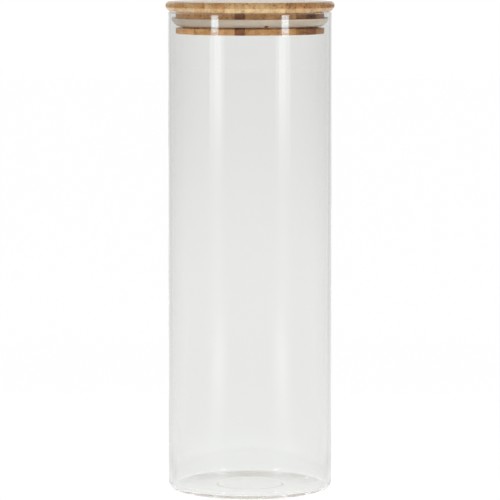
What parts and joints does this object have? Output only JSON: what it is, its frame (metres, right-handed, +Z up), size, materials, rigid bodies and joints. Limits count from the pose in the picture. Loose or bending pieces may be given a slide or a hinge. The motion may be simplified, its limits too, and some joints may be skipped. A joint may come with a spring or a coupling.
{
  "type": "glass storage canister",
  "caption": "Tall straight-sided clear glass canister closed by a push-in laminated bamboo lid with a silicone lip seal, for dry food.",
  "frame": {"origin": "centre of the base, on the surface that the canister stands on", "axes": "+Z up along the jar's axis; +X to the right and -Y towards the viewer in the picture, with the lid's bamboo strips running along Y"},
  "size_m": [0.103, 0.103, 0.2993],
  "materials": {
    "clear_glass": "clear, polished, with a faint grey-green edge",
    "silicone": "translucent milky silicone, satin",
    "bamboo_pale": "pale natural bamboo, fine sanded and oiled",
    "bamboo_mid": "golden bamboo, fine sanded and oiled",
    "bamboo_dark": "darker carbonised-looking bamboo, fine sanded and oiled"
  },
  "bodies": {
    "jar": {"glass_jar": "clear_glass"},
    "seal": {"seal_ring": "silicone"},
    "lid": {"disc_strip_01": "bamboo_pale", "disc_strip_02": "bamboo_mid", "disc_strip_03": "bamboo_pale", "disc_strip_04": "bamboo_mid", "disc_strip_05": "bamboo_pale", "disc_strip_06": "bamboo_mid", "disc_strip_07": "bamboo_pale", "disc_strip_08": "bamboo_pale", "disc_strip_09": "bamboo_pale", "disc_strip_10": "bamboo_pale", "disc_strip_11": "bamboo_pale", "disc_strip_12": "bamboo_pale", "disc_strip_13": "bamboo_mid", "disc_strip_14": "bamboo_mid", "disc_strip_15": "bamboo_mid", "disc_strip_16": "bamboo_mid", "disc_strip_17": "bamboo_mid", "plug_strip_01": "bamboo_pale", "plug_strip_02": "bamboo_pale", "plug_strip_03": "bamboo_pale", "plug_strip_04": "bamboo_pale", "plug_strip_05": "bamboo_pale", "plug_strip_06": "bamboo_pale", "plug_strip_07": "bamboo_dark", "plug_strip_08": "bamboo_pale", "plug_strip_09": "bamboo_pale", "plug_strip_10": "bamboo_pale", "plug_strip_11": "bamboo_pale", "plug_strip_12": "bamboo_pale", "plug_strip_13": "bamboo_mid", "plug_strip_14": "bamboo_dark", "plug_strip_15": "bamboo_mid"}
  },
  "joints": [
    {"name": "lid_lift", "type": "slide", "parent": "jar", "child": "seal", "axis": [0, 0, 1], "range_m": [0, 0.12]},
    {"name": "lid_turn", "type": "hinge", "parent": "seal", "child": "lid", "pos_m": [0, 0, 0.2929], "axis": [0, 0, 1], "continuous": true}
  ]
}
